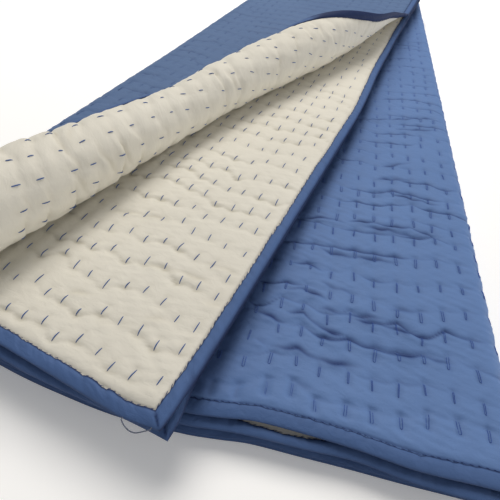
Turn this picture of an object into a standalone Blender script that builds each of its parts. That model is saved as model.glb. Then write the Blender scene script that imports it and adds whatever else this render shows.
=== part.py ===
"""A kantha quilt of cotton, blue on one face and cream on the other, bound all
round, folded in half end to end and then in quarters, with the right-hand bound
edge of its top leaf turned back in a soft roll.

Frame: metres, +Z up, origin on the floor at the middle of the lowest leaf.
+Y runs along the stitch rows of the lower leaves, away from the hems.
"""
import math
from collections import namedtuple

import bpy
from mathutils import Vector

# ---- Driving sizes, in metres ------------------------------------------------
CLOTH = 0.0032              # one cotton face with its share of the padding
SEAM_GAP = 0.0003           # between the two faces, and round the binding
LEAF = 2 * CLOTH + SEAM_GAP
PAIR_GAP = 0.0026           # between the cream faces of a doubled leaf
PITCH = 0.020               # height from one doubled leaf to the next
FOLDED_LENGTH = 1.143       # half of the quilt's 2.29 m length
BINDING_WIDTH = 0.0116      # what the binding shows on each face
BINDING_CLOTH = 0.0012
ROW_RIDGE = 0.0005          # how far the quilting raises every second grid row

LEAF_OFFSET = PAIR_GAP / 2 + LEAF / 2       # leaf middle from the pair's middle
PAIR_HALF = PAIR_GAP / 2 + LEAF
SMALL_FOLD = PITCH / 2
LARGE_FOLD = 3 * PITCH / 2
LARGE_FOLD_BULGE = 1.35     # the large left fold is wider than a half circle
HEIGHT = [PAIR_HALF + PITCH * level for level in range(4)]      # pair middles
FAR_TURN = math.pi * LEAF_OFFSET            # cloth taken by the end-to-end fold

# ---- Where the leaves lie ------------------------------------------------------
RIGHT_FOLD_X = 0.217        # centre line of the lower right-hand fold
LOWER_HEM_Y = -FOLDED_LENGTH / 2
UPPER_CORNER = Vector((-0.028, -0.5992))    # front corner of the top leaves
UPPER_TURN = math.radians(13)               # how far the top leaves are skewed
AWAY = Vector((math.sin(UPPER_TURN), math.cos(UPPER_TURN)))
LEFTWARD = Vector((-math.cos(UPPER_TURN), math.sin(UPPER_TURN)))
UPPER_WIDTH = 0.320         # bound edge to left fold, at the hem
UPPER_WIDENING = 0.012      # per metre back
# How far the upper leaves' bound edge bows outwards, at distances back.
Bow = namedtuple("Bow", "back out")
EDGE_BOW = [
    Bow(-0.05, -0.0030), Bow(0.00, -0.0008), Bow(0.02, 0.0022), Bow(0.05, 0.0040),
    Bow(0.12, 0.0056), Bow(0.24, 0.0074),
    Bow(0.38, 0.0098), Bow(0.48, 0.0112), Bow(0.55, 0.0088), Bow(0.62, 0.0046),
    Bow(0.72, 0.0026), Bow(0.84, 0.0002), Bow(1.20, 0.0000),
]
LEFT_FOLD_MIDDLE = Vector((-0.218, FOLDED_LENGTH / 2))   # x, at this distance back
LEFT_FOLD_SLOPE = math.tan(math.radians(9.5))
HEM_CURVE = 0.040           # the lower hems curve back by this at the left fold
HEM_CURVE_REACH = 0.25
CORNER_DROOP = 0.004

# Forward shift of the hems at the right end of the top leaf, then at each end of
# the leaves in the order of the fold, for the outer and the inner cloth of a pair.
Hem = namedtuple("Hem", "place outer inner")
HEMS = [
    Hem("top leaf, right", 0.000, 0.003),
    Hem("top leaf, left", 0.000, 0.003),
    Hem("lowest leaf, left", 0.006, 0.006),
    Hem("lowest leaf, right", 0.009, 0.009),
    Hem("third leaf, right", 0.000, 0.010),
    Hem("third leaf, left", 0.000, 0.005),
    Hem("second leaf, left", -0.004, 0.010),
    Hem("second leaf, right", -0.004, 0.010),
]
HEM_FADE = 0.25
TOP_TUCK = 0.0042           # the top leaf's corner is drawn back by this
TOP_TUCK_REACH = 0.035
UNDER_TUCK = 0.0105         # and the second leaf's by this
UNDER_TUCK_REACH = 0.16
UNDER_CORNER = 0.009        # but it stands out sideways by this
UNDER_CORNER_REACH = 0.06

# The lower hems are wavy: forward shift, at distances in from the right fold.
Wave = namedtuple("Wave", "inward third_outer third_inner lowest")
HEM_WAVE = [
    Wave(-0.05, 0.0010, -0.0005, -0.0030),
    Wave(0.017, 0.0010, -0.0005, -0.0030),
    Wave(0.063, 0.0017, -0.0013, -0.0022),
    Wave(0.105, -0.0018, -0.0050, -0.0022),
    Wave(0.145, -0.0034, -0.0036, -0.0016),
    Wave(0.185, -0.0034, -0.0027, -0.0010),
    Wave(0.210, 0.0002, -0.0008, 0.0020),
    Wave(0.237, 0.0030, 0.0022, 0.0047),
    Wave(0.290, 0.0040, 0.0030, 0.0060),
    Wave(0.360, 0.0020, 0.0020, 0.0045),
    Wave(0.600, 0.0000, 0.0000, 0.0020),
]

# The roll: where it starts (in from the bound edge), its radius and how far the
# cloth turns before it runs straight, at distances back from the hem.
Roll = namedtuple("Roll", "back start radius turn")
ROLL = [
    Roll(-0.15, 0.288, 0.0375, 205),
    Roll(0.00, 0.259, 0.0385, 207),
    Roll(0.08, 0.2415, 0.0372, 208),
    Roll(0.15, 0.225, 0.0330, 210),
    Roll(0.30, 0.196, 0.0262, 215),
    Roll(0.45, 0.160, 0.0300, 222),
    Roll(0.60, 0.105, 0.0342, 222),
    Roll(0.70, 0.080, 0.0440, 212),
    Roll(0.80, 0.062, 0.0470, 205),
    Roll(0.88, 0.037, 0.0460, 200),
    Roll(0.93, 0.014, 0.0440, 200),
    Roll(0.97, -0.002, 0.0440, 200),
    Roll(1.20, -0.060, 0.0440, 200),
]
ROLL_SKEW = math.radians(14.3)
ROLL_REST = 0.0030          # the turned-back cloth lies this far above the leaf
ROLL_LANDING = 0.014        # and eases down to it from this far above

# ---- A loose end of sewing thread that loops out under the top leaf's front hem:
# in from the corner, out from the hem and up from the cloth's middle.
Loop = namedtuple("Loop", "inward out up")
THREAD_RADIUS = 0.0005
THREAD_SIDES = 5
THREAD_STEPS = 2            # rings from one row of the table to the next
THREAD = [
    Loop(0.0292, 0.0010, 0.0005), Loop(0.0272, 0.0024, 0.0003), Loop(0.0242, 0.0041, 0.0000),
    Loop(0.0207, 0.0054, -0.0004), Loop(0.0172, 0.0059, -0.0006), Loop(0.0144, 0.0053, -0.0005),
    Loop(0.0118, 0.0039, -0.0001), Loop(0.0092, 0.0024, 0.0003), Loop(0.0068, 0.0010, 0.0005),
]

# ---- Grid -------------------------------------------------------------------------
LEGS = ["top", "large fold", "lowest", "right fold", "third", "small fold", "second"]
TOP_ROLL_COLUMNS = 9
TOP_FLAT_COLUMNS = 5
COLUMNS = {"large fold": 6, "lowest": 3, "right fold": 5, "third": 5,
           "small fold": 5, "second": 2}
OUTER_ROWS = [(0.36, 6), (0.66, 9), (1.0, 5), (FOLDED_LENGTH, 2)]     # reach, cells
FAR_ROWS = 4
INNER_ROWS = 8
BINDING_EDGE = 0.0027       # the binding is folded double at the very edge
EDGE_INSET = BINDING_EDGE + 0.0008          # the faces stop inside the binding
STEP_LOW = BINDING_WIDTH + 0.0006
STEP_HIGH = STEP_LOW + 0.0006
HIDDEN_GAP = 0.0005         # between the binding's inner side and the faces
STIFF_EDGE = 0.019          # the bound edge is too thick to curl this close in


def smooth(share):
    share = min(max(share, 0.0), 1.0)
    return share * share * (3 - 2 * share)


def between(first, last, share):
    return first + (last - first) * share


def look_up(table, place, name):
    """A smooth value between the rows of a table, by the rows' first column."""
    index = 1
    while index < len(table) - 3 and table[index + 1][0] < place:
        index += 1
    before, here, there, after = table[index - 1:index + 3]
    span = there[0] - here[0]
    share = min(max((place - here[0]) / span, 0.0), 1.0)
    low, high = getattr(here, name), getattr(there, name)
    slope_in = (high - getattr(before, name)) / (there[0] - before[0])
    slope_out = (getattr(after, name) - low) / (after[0] - here[0])
    s2, s3 = share * share, share ** 3
    return ((2 * s3 - 3 * s2 + 1) * low + (s3 - 2 * s2 + share) * slope_in * span
            + (3 * s2 - 2 * s3) * high + (s3 - s2) * slope_out * span)


def roll_at(back):
    """Start, radius and turn of the roll at a distance back from the hem."""
    return (look_up(ROLL, back, "start"), look_up(ROLL, back, "radius"),
            math.radians(look_up(ROLL, back, "turn")))


def roll_cloth(inward, back):
    """Where the top leaf's cloth goes, from its flat place: inward, back, up."""
    foot = back
    for _ in range(8):
        start, radius, turn = roll_at(foot)
        foot = back + (start - inward) * math.tan(ROLL_SKEW)
    beyond = (start - inward) / math.cos(ROLL_SKEW)
    if beyond <= 0:
        return inward, back, 0.0
    rest = LEAF + ROLL_REST
    arc = radius * turn
    if beyond <= arc:
        across = radius * math.sin(beyond / radius)
        up = radius * (1 - math.cos(beyond / radius))
    else:
        across = radius * math.sin(turn) + (beyond - arc) * math.cos(turn)
        up = radius * (1 - math.cos(turn)) + (beyond - arc) * math.sin(turn)
    if beyond > math.pi * radius and up < rest + ROLL_LANDING:
        up = rest + ROLL_LANDING * math.exp((up - rest - ROLL_LANDING) / ROLL_LANDING)
    moved = across - beyond
    return (inward - moved * math.cos(ROLL_SKEW), back - moved * math.sin(ROLL_SKEW), up)


def upper_width(back):
    return UPPER_WIDTH + UPPER_WIDENING * back + look_up(EDGE_BOW, back, "out")


def upper_centre(back):
    return UPPER_CORNER + AWAY * back + LEFTWARD * (UPPER_WIDTH + UPPER_WIDENING * back)


def hem_curve(from_left, back):
    share = max(1 - max(from_left, 0.0) / HEM_CURVE_REACH, 0.0)
    return HEM_CURVE * share * share * (1 - 0.5 * back / FOLDED_LENGTH)


def lowest_centre(back):
    x = LEFT_FOLD_MIDDLE.x + LEFT_FOLD_SLOPE * (back - LEFT_FOLD_MIDDLE.y)
    return Vector((x, LOWER_HEM_Y + back + hem_curve(0.0, back)))


def third_centre(back):
    """The small left fold lies midway between the large fold's two ends."""
    x = (lowest_centre(back).x + upper_centre(back).x) / 2
    return Vector((x, LOWER_HEM_Y + back + hem_curve(0.0, back)))


def second_centre(back):
    """The second leaf's end of the small fold, on the upper leaves' own rows."""
    shift = (third_centre(back).x - upper_centre(back).x) / LEFTWARD.x
    return upper_centre(back) + LEFTWARD * shift


def lowest_width(back):
    return RIGHT_FOLD_X - lowest_centre(back).x


def third_width(back):
    return RIGHT_FOLD_X - third_centre(back).x


def second_width(back, side):
    """The second pair's width: its corner stands out a little under the top one's."""
    corner = UNDER_CORNER * (1 - smooth(back / UNDER_CORNER_REACH))
    shift = (second_centre(back) - upper_centre(back)).dot(LEFTWARD)
    return upper_width(back) + shift - 0.004 + corner * (0.55 - 0.45 * side)


def row_state(along):
    """Side (+1 outer cloth, -1 inner cloth) and distance back, for a length of cloth
    that runs from the outer hem round the far fold to the inner hem."""
    if along <= FOLDED_LENGTH:
        return 1.0, along
    if along >= FOLDED_LENGTH + FAR_TURN:
        return -1.0, 2 * FOLDED_LENGTH + FAR_TURN - along
    angle = (along - FOLDED_LENGTH) / LEAF_OFFSET
    return math.cos(angle), FOLDED_LENGTH + LEAF_OFFSET * math.sin(angle)


def hem_shift(leg, share, side, back):
    index = LEGS.index(leg)
    ends = [between(row.inner, row.outer, (side + 1) / 2) for row in HEMS[index:index + 2]]
    shift = between(ends[0], ends[1], min(max(share, 0.0), 1.0))
    if leg == "top":
        shift -= TOP_TUCK * (1 - smooth(share * UPPER_WIDTH / TOP_TUCK_REACH))
    elif leg == "second":
        shift -= UNDER_TUCK * (1 - smooth((1 - share) * UPPER_WIDTH / UNDER_TUCK_REACH))
    else:
        inward = {"lowest": (1 - share) * lowest_width(back), "right fold": 0.0,
                  "third": share * third_width(back)}.get(leg, 0.5)
        third = between(look_up(HEM_WAVE, inward, "third_inner"),
                        look_up(HEM_WAVE, inward, "third_outer"), (side + 1) / 2)
        lowest = look_up(HEM_WAVE, inward, "lowest")
        shift += {"lowest": lowest, "third": third,
                  "right fold": between(lowest, third, share)}.get(leg, 0.0)
    return shift * (1 - smooth(back / HEM_FADE))


def leaf_middle(leg, run, along):
    """Middle of the cloth. run is metres along a flat leaf in the order of the fold,
    or radians round a fold; along is metres of cloth from the outer hem."""
    if leg == "top" and run < STIFF_EDGE:
        inner = leaf_middle(leg, STIFF_EDGE, along)
        slope = (leaf_middle(leg, STIFF_EDGE + 0.002, along) - inner) / 0.002
        return inner + slope * (run - STIFF_EDGE)
    side, back = row_state(along)
    offset = side * LEAF_OFFSET
    lowest, third, second, top = HEIGHT
    up = 0.0
    wrap = 0.0
    if leg == "top":
        width = upper_width(back)
        back -= hem_shift(leg, run / width, side, back)
        inward = run
        if side == 1.0:
            inward, back, up = roll_cloth(run, back)
        width = upper_width(back)
        across, height, blend = width - inward, top + offset, 0.0
        if up > 0 and across < 0:
            radial = height + up - (top + lowest) / 2
            radial += 0.002 * smooth(-across / 0.03)
            wrap = across / (radial * (1 + LARGE_FOLD_BULGE) / 2)
            across = LARGE_FOLD_BULGE * radial * math.sin(wrap)
            height = (top + lowest) / 2 + radial * math.cos(wrap)
            up = 0.0
    elif leg == "large fold":
        back -= hem_shift(leg, run / math.pi, side, back)
        radius = LARGE_FOLD + offset
        across = -LARGE_FOLD_BULGE * radius * math.sin(run)
        height = (top + lowest) / 2 + radius * math.cos(run)
        blend = smooth(run / math.pi)
    elif leg == "lowest":
        back -= hem_shift(leg, run / lowest_width(back), side, back)
        across, height, blend = run, lowest - offset, 1.0
    elif leg == "right fold":
        back -= hem_shift(leg, run / math.pi, side, back)
        radius = SMALL_FOLD + offset
        across = lowest_width(back) + radius * math.sin(run)
        height, blend = (lowest + third) / 2 - radius * math.cos(run), 1.0
    elif leg == "third":
        back -= hem_shift(leg, run / third_width(back), side, back)
        across, height, blend = third_width(back) - run, third + offset, 1.0
    elif leg == "small fold":
        back -= hem_shift(leg, run / math.pi, side, back)
        radius = SMALL_FOLD - offset
        across, height = -radius * math.sin(run), (second + third) / 2 - radius * math.cos(run)
        blend = 1 - smooth(run / math.pi)
    else:
        back -= hem_shift(leg, run / upper_width(back), side, back)
        across, height, blend = run, second - offset, 0.0
    height += up

    if leg in ("third", "small fold", "second"):
        upper, lower = second_centre(back), third_centre(back)
    else:
        upper, lower = upper_centre(back), lowest_centre(back)
    centre = upper * (1 - blend) + lower * blend
    direction = (-LEFTWARD * (1 - blend) + Vector((1, 0)) * blend).normalized()
    place = centre + direction * across
    if blend == 1.0:
        place.y += hem_curve(across, back) - hem_curve(0.0, back)
    # The stack is flat on the floor and a few millimetres uneven on top.
    swell = 0.035 * math.sin(5.1 * place.x + 3.7 * place.y + 0.6) * math.sin(4.3 * place.y - 2.0 * place.x)
    overhang = smooth((LOWER_HEM_Y - place.y) / 0.03) if blend == 0.0 else 0.0
    height = LEAF / 2 + (height - LEAF / 2) * (1 + swell)
    return Vector((place.x, place.y, height - CORNER_DROOP * overhang))


def cloth_point(leg, run, along, rise):
    """A point at a height above the cloth's middle, towards its blue face."""
    step = 0.0004
    turn = step / 0.03 if "fold" in leg else step
    ahead = leaf_middle(leg, run + turn, along) - leaf_middle(leg, run - turn, along)
    onward = leaf_middle(leg, run, along + step) - leaf_middle(leg, run, along - step)
    normal = onward.cross(ahead).normalized()
    return leaf_middle(leg, run, along) + normal * rise


# A column is a leg and a rule that gives its run from the distance back.
def grid_split(back):
    """Where the roll's columns end and the flat ones begin, in from the edge."""
    start = roll_at(back)[0]
    return max(start, 0.13) if start > 0.16 else 0.13 + 0.5 * max(start - 0.10, 0.0)


def edge_columns():
    return [EDGE_INSET, STEP_LOW, STEP_HIGH]


def columns():
    """Columns of the grid from the top leaf's bound edge to the second leaf's."""
    rules = []
    for inset in edge_columns():
        rules.append(("top", lambda back, side, i=inset: i))
    for count in range(1, TOP_ROLL_COLUMNS + 1):
        share = count / TOP_ROLL_COLUMNS
        rules.append(("top", lambda back, side, s=share: between(STEP_HIGH, grid_split(back), s)))
    for count in range(1, TOP_FLAT_COLUMNS):
        share = count / TOP_FLAT_COLUMNS
        rules.append(("top", lambda back, side, s=share:
                      between(grid_split(back), upper_width(back), s)))
    for leg in ("large fold", "lowest", "right fold", "third", "small fold"):
        cells = COLUMNS[leg]
        reach = {"lowest": lowest_width, "third": third_width}.get(leg, lambda back: math.pi)
        for count in range(cells if "fold" not in leg else cells + 1):
            if "fold" not in leg and count == 0:
                continue
            share = count / cells
            rules.append((leg, lambda back, side, s=share, r=reach: r(back) * s))
    cells = COLUMNS["second"]
    for count in range(1, cells + 1):
        share = count / cells
        rules.append(("second", lambda back, side, s=share:
                      (second_width(back, side) - STEP_HIGH) * s))
    for inset in reversed(edge_columns()[:-1]):
        rules.append(("second", lambda back, side, i=inset: second_width(back, side) - i))
    return rules


def rows():
    """Distances along the cloth from the outer hem to the inner one."""
    whole = 2 * FOLDED_LENGTH + FAR_TURN
    outer = edge_columns()
    for reach, cells in OUTER_ROWS:
        start = outer[-1]
        outer += [between(start, reach, n / cells) for n in range(1, cells + 1)]
    far = [FOLDED_LENGTH + FAR_TURN * n / FAR_ROWS for n in range(1, FAR_ROWS + 1)]
    inner = [between(FOLDED_LENGTH, STEP_HIGH, n / INNER_ROWS) for n in range(1, INNER_ROWS + 1)]
    inner += reversed(edge_columns()[:-1])
    return outer + far + [whole - distance for distance in inner]


def make_object(name, points, faces, colour, roughness):
    mesh = bpy.data.meshes.new(name)
    mesh.from_pydata([tuple(point) for point in points], [], faces)
    mesh.validate()
    mesh.shade_smooth()
    mesh.set_sharp_from_angle(angle=math.radians(40))
    thing = bpy.data.objects.new(name, mesh)
    bpy.context.scene.collection.objects.link(thing)
    finish = bpy.data.materials.new(name + "_cotton")
    finish.use_nodes = True
    shader = finish.node_tree.nodes["Principled BSDF"]
    shader.inputs["Base Color"].default_value = (*colour, 1)
    shader.inputs["Roughness"].default_value = roughness
    shader.inputs["Metallic"].default_value = 0
    mesh.materials.append(finish)
    return thing


def make_face_cloth(name, near, far, blue_side, colour):
    """One cotton face of the quilt, from near to far of the cloth's middle. Its
    outer side steps down under the binding and rises at every second row."""
    across, along = columns(), rows()
    whole = 2 * FOLDED_LENGTH + FAR_TURN
    sunk = BINDING_CLOTH + HIDDEN_GAP
    sign = 1 if blue_side else -1
    points = []
    for rise in (near, far):
        for j, distance in enumerate(along):
            side, back = row_state(distance)
            for i, (leg, rule) in enumerate(across):
                height = rise
                if rise == far:
                    edge = min(i, j, len(across) - 1 - i, len(along) - 1 - j)
                    if edge < 2:
                        height -= sign * sunk
                    elif leg != "lowest" and 3 < j < len(along) - 4 and "fold" not in leg:
                        height += sign * ROW_RIDGE * (1 if (i + j) % 2 else -1) * 0.5
                points.append(cloth_point(leg, rule(back, side), distance, height))
    width, length = len(across), len(along)
    top = width * length

    def number(i, j, layer):
        return layer * top + j * width + i

    faces = []
    for j in range(length - 1):
        for i in range(width - 1):
            for third in ((i + 1, j), (i, j + 1)):
                corners = [(i, j), (i + 1, j + 1), third]
                if third[0] == i:
                    corners.reverse()
                order = corners if blue_side else corners[::-1]
                faces.append([number(*corner, 1) for corner in order])
                faces.append([number(*corner, 0) for corner in order[::-1]])
    rim = [(i, 0) for i in range(width - 1)]
    rim += [(width - 1, j) for j in range(length - 1)]
    rim += [(i, length - 1) for i in range(width - 1, 0, -1)]
    rim += [(0, j) for j in range(length - 1, 0, -1)]
    for here, there in zip(rim, rim[1:] + rim[:1]):
        wall = [number(*here, 0), number(*here, 1), number(*there, 1), number(*there, 0)]
        faces.append(wall if blue_side else wall[::-1])
    return make_object(name, points, faces, colour, 0.85)


def make_binding(name, colour):
    """The bound edge: one folded strip round the whole cloth, with mitred corners.
    Its section is a U of six points that closes over both faces."""
    across, along = columns()[2:-2], rows()[2:-2]
    whole = 2 * FOLDED_LENGTH + FAR_TURN
    outer = LEAF / 2
    inner = outer - BINDING_CLOTH
    section = [(BINDING_WIDTH, outer), (0.0, outer), (0.0, -outer), (BINDING_WIDTH, -outer),
               (BINDING_WIDTH, -inner), (BINDING_EDGE, -inner),
               (BINDING_EDGE, inner), (BINDING_WIDTH, inner)]
    points = []
    for inset, rise in section:
        ring = []
        for leg, rule in across:
            ring.append((leg, rule(inset, 1.0), inset))
        ring.append(("second", second_width(inset, 1.0) - inset, inset))
        for distance in along:
            side, back = row_state(distance)
            ring.append(("second", second_width(back, side) - inset, distance))
        ring.append(("second", second_width(inset, -1.0) - inset, whole - inset))
        for leg, rule in reversed(across):
            ring.append((leg, rule(inset, -1.0), whole - inset))
        ring.append(("top", inset, whole - inset))
        for distance in reversed(along):
            ring.append(("top", inset, distance))
        ring.append(("top", inset, inset))
        points.append([cloth_point(leg, run, distance, rise) for leg, run, distance in ring])
    stations = len(points[0])
    faces = []
    for k in range(len(section)):
        beside = (k + 1) % len(section)
        deeper = section[beside][0] > section[k][0]
        for n in range(stations):
            after = (n + 1) % stations
            place = n % (len(across) + len(along) + 2)
            on_hem = place < len(across) or place == len(across) + len(along) + 1
            quad = [k * stations + after, beside * stations + after,
                    beside * stations + n, k * stations + n]
            if on_hem == deeper:
                faces += [[quad[0], quad[1], quad[3]], [quad[1], quad[2], quad[3]]]
            else:
                faces += [[quad[0], quad[1], quad[2]], [quad[0], quad[2], quad[3]]]
    flat = [point for ring in points for point in ring]
    return make_object(name, flat, faces, colour, 0.8)


def make_thread(name, colour):
    """The thread: a round strand along a smooth line through its table's rows."""
    whole = 2 * FOLDED_LENGTH + FAR_TURN
    marks = []
    for row in THREAD:
        base = leaf_middle("top", row.inward, whole)
        marks.append(base - Vector((AWAY.x, AWAY.y, 0)) * row.out + Vector((0, 0, row.up)))
    line = []
    for n in range(len(marks) - 1):
        before, here = marks[max(n - 1, 0)], marks[n]
        there, after = marks[n + 1], marks[min(n + 2, len(marks) - 1)]
        for step in range(THREAD_STEPS):
            t = step / THREAD_STEPS
            line.append(0.5 * (2 * here + (there - before) * t
                               + (2 * before - 5 * here + 4 * there - after) * t ** 2
                               + (3 * here - before - 3 * there + after) * t ** 3))
    line.append(marks[-1])
    points = []
    for n, place in enumerate(line):
        ahead = (line[min(n + 1, len(line) - 1)] - line[max(n - 1, 0)]).normalized()
        side = ahead.cross(Vector((0, 0, 1))).normalized()
        over = side.cross(ahead)
        for k in range(THREAD_SIDES):
            turn = 2 * math.pi * k / THREAD_SIDES
            points.append(place + (side * math.cos(turn) + over * math.sin(turn)) * THREAD_RADIUS)
    sides, last = THREAD_SIDES, (len(line) - 1) * THREAD_SIDES
    faces = [list(range(sides)), [last + k for k in reversed(range(sides))]]
    for n in range(len(line) - 1):
        for k in range(sides):
            beside = (k + 1) % sides
            faces.append([n * sides + beside, n * sides + k,
                          (n + 1) * sides + k, (n + 1) * sides + beside])
    return make_object(name, points, faces, colour, 0.7)


for leftover in list(bpy.data.objects):
    bpy.data.objects.remove(leftover, do_unlink=True)

BLUE = (0.127, 0.195, 0.392)
CREAM = (0.672, 0.624, 0.515)
THREAD_GREY = (0.090, 0.105, 0.140)
half_gap = SEAM_GAP / 2
make_face_cloth("blue_face", half_gap, half_gap + CLOTH, True, BLUE)
make_face_cloth("cream_face", -half_gap, -half_gap - CLOTH, False, CREAM)
make_binding("edge_binding", BLUE)
make_thread("loose_thread", THREAD_GREY)
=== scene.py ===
import math

import bmesh
import bpy
import numpy as np
from mathutils import Euler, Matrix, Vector


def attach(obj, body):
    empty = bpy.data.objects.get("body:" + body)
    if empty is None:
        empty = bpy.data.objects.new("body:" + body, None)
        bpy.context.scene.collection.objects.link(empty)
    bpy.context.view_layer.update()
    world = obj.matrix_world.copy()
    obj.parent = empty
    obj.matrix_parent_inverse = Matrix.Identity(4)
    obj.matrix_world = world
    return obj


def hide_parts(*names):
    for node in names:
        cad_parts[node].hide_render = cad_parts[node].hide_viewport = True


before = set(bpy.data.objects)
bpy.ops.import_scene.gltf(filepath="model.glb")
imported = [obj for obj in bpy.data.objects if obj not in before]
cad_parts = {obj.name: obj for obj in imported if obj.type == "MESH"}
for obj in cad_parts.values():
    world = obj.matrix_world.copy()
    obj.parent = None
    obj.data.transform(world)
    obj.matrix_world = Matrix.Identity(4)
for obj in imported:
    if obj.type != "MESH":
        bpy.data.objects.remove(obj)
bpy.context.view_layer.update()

# ---- Camera -----------------------------------------------------------------
# Held close in front of the hems, a third of a metre above the floor, looking
# down over the turned-back corner along the length of the quilt.
CAMERA_PLACE = (0.0453, -0.6435, 0.331)
LOOKING_DOWN = 49.86        # degrees below level
TURNED_LEFT = 13.5          # degrees
SENSOR_WIDTH = 36
FOCAL_PIXELS = 355          # the focal length, in pixels of the picture
PICTURE_PIXELS = 500


def linked(name, data):
    """A new object in the scene, for a camera, light, curve or mesh."""
    made = bpy.data.objects.new(name, data)
    bpy.context.scene.collection.objects.link(made)
    return made


camera = linked("camera", bpy.data.cameras.new("camera"))
camera.location = CAMERA_PLACE
camera.rotation_euler = Euler((math.radians(90 - LOOKING_DOWN), 0, math.radians(TURNED_LEFT)))
camera.data.sensor_width = SENSOR_WIDTH
camera.data.lens = SENSOR_WIDTH * FOCAL_PIXELS / PICTURE_PIXELS
camera.data.shift_x = 0.005
camera.data.clip_start = 0.01
bpy.context.scene.camera = camera

# ---- Floor and light ---------------------------------------------------------------
# A plain white studio floor, glowing a little, and an even surround. One large soft
# lamp hangs high behind the quilt, so that its creases show, and a second one stands
# low on the right, for the light that a white wall there would throw back.
FLOOR_RADIUS = 6
FLOOR_DROP = 0.0005         # the floor lies this far under the quilt
FLOOR_GLOW = 0.16
SURROUND = 0.25


def linear(code):
    """An sRGB hex colour as linear red, green, blue and alpha."""
    parts = [int(code[n:n + 2], 16) / 255 for n in (0, 2, 4)]
    return (*[v / 12.92 if v <= 0.04045 else ((v + 0.055) / 1.055) ** 2.4 for v in parts], 1)


def node(tree, kind, inputs, **settings):
    """Adds a node with its settings; an input is a value or another node's output."""
    made = tree.nodes.new("ShaderNode" + kind)
    for name, value in settings.items():
        setattr(made, name, value)
    for name, value in inputs.items():
        if isinstance(value, bpy.types.NodeSocket):
            tree.links.new(value, made.inputs[name])
        else:
            made.inputs[name].default_value = value
    return made


def new_material(name):
    """A named material with an empty tree but for its output."""
    material = bpy.data.materials.new(name)
    material.use_nodes = True
    tree = material.node_tree
    for old in list(tree.nodes):
        tree.nodes.remove(old)
    output = tree.nodes.new("ShaderNodeOutputMaterial")
    return material, tree, output


floor_shape = bmesh.new()
bmesh.ops.create_circle(floor_shape, cap_ends=True, segments=64, radius=FLOOR_RADIUS)
floor_mesh = bpy.data.meshes.new("floor")
floor_shape.to_mesh(floor_mesh)
floor_shape.free()
floor = linked("floor", floor_mesh)
floor.location.z = -FLOOR_DROP
floor_finish, tree, output = new_material("white_studio_paper")
shader = node(tree, "BsdfPrincipled", {
    "Base Color": linear("fdfdfc"), "Roughness": 0.9,
    "Emission Color": linear("ffffff"), "Emission Strength": FLOOR_GLOW})
tree.links.new(shader.outputs["BSDF"], output.inputs["Surface"])
floor_mesh.materials.append(floor_finish)

world = bpy.data.worlds.new("studio")
bpy.context.scene.world = world
world.use_nodes = True
surround = world.node_tree.nodes["Background"]
surround.inputs["Color"].default_value = linear("f4f6fb")
surround.inputs["Strength"].default_value = SURROUND


def lamp(name, place, aim, size, power, colour):
    light = bpy.data.lights.new(name, "AREA")
    light.energy = power
    light.size = size
    light.color = linear(colour)[:3]
    holder = linked(name, light)
    holder.location = place
    holder.rotation_euler = (Vector(aim) - Vector(place)).to_track_quat("-Z", "Y").to_euler()


lamp("high_soft_lamp", (-0.31, 0.87, 2.22), (0.0, -0.10, 0.05), 1.35, 48.5, "fffaf3")
lamp("low_soft_lamp", (3.60, -0.66, 0.52), (-0.10, -0.20, 0.10), 1.6, 48, "fffaf3")

bpy.context.scene.view_settings.view_transform = "Standard"

# ---- Blue cotton face ----------------------------------------------------------------
# A soft satin-like cotton, in two widths that meet inside the lowest leaf. It lies
# on the outside of the fold from end to end, and every row of quilting draws it
# down in small pillows with crosswise creases at the stitches' ends.
CLOTH = 0.0032              # thickness of one face with its share of the padding
SEAM_GAP = 0.0003           # between the faces, as in the solids
LEAF = 2 * CLOTH + SEAM_GAP
PAIR_GAP = 0.0026           # between the two layers of a doubled leaf
PITCH = 0.020               # from one doubled leaf to the next
FOLDED_LENGTH = 1.143
LEAF_OFFSET = PAIR_GAP / 2 + LEAF / 2
PAIR_HALF = PAIR_GAP / 2 + LEAF
SMALL_FOLD = PITCH / 2
LARGE_FOLD = 3 * PITCH / 2
LARGE_FOLD_BULGE = 1.35
HEIGHT = [PAIR_HALF + PITCH * level for level in range(4)]
FAR_TURN = math.pi * LEAF_OFFSET
WHOLE = 2 * FOLDED_LENGTH + FAR_TURN

# Where the leaves lie, as in the solids: places and widths in metres.
RIGHT_FOLD_X = 0.217
LOWER_HEM_Y = -FOLDED_LENGTH / 2
UPPER_CORNER = np.array((-0.028, -0.5992))
UPPER_TURN = math.radians(13)
AWAY = np.array((math.sin(UPPER_TURN), math.cos(UPPER_TURN)))
LEFTWARD = np.array((-math.cos(UPPER_TURN), math.sin(UPPER_TURN)))
UPPER_WIDTH = 0.320
UPPER_WIDENING = 0.012
LEFT_FOLD_MIDDLE = (-0.218, FOLDED_LENGTH / 2)
LEFT_FOLD_SLOPE = math.tan(math.radians(9.5))
HEM_CURVE = 0.040
HEM_CURVE_REACH = 0.25
CORNER_DROOP = 0.004
# The upper leaves' bound edge bows out: back from the hem, out.
EDGE_BOW = [(-0.05, -0.0030), (0.00, -0.0008), (0.02, 0.0022), (0.05, 0.0040),
            (0.12, 0.0056), (0.24, 0.0074), (0.38, 0.0098), (0.48, 0.0112),
            (0.55, 0.0088), (0.62, 0.0046), (0.72, 0.0026), (0.84, 0.0002), (1.20, 0.0000)]
# Forward shift of the hems of the outer and the inner cloth, at the ends of the
# top, lowest, third and second leaves in the order of the fold.
HEMS = [(0.000, 0.003), (0.000, 0.003), (0.006, 0.006), (0.009, 0.009),
        (0.000, 0.010), (0.000, 0.005), (-0.004, 0.010), (-0.004, 0.010)]
HEM_FADE = 0.25
TOP_TUCK, TOP_TUCK_REACH = 0.0042, 0.035
UNDER_TUCK, UNDER_TUCK_REACH = 0.0105, 0.16
UNDER_CORNER, UNDER_CORNER_REACH = 0.009, 0.06
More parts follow.
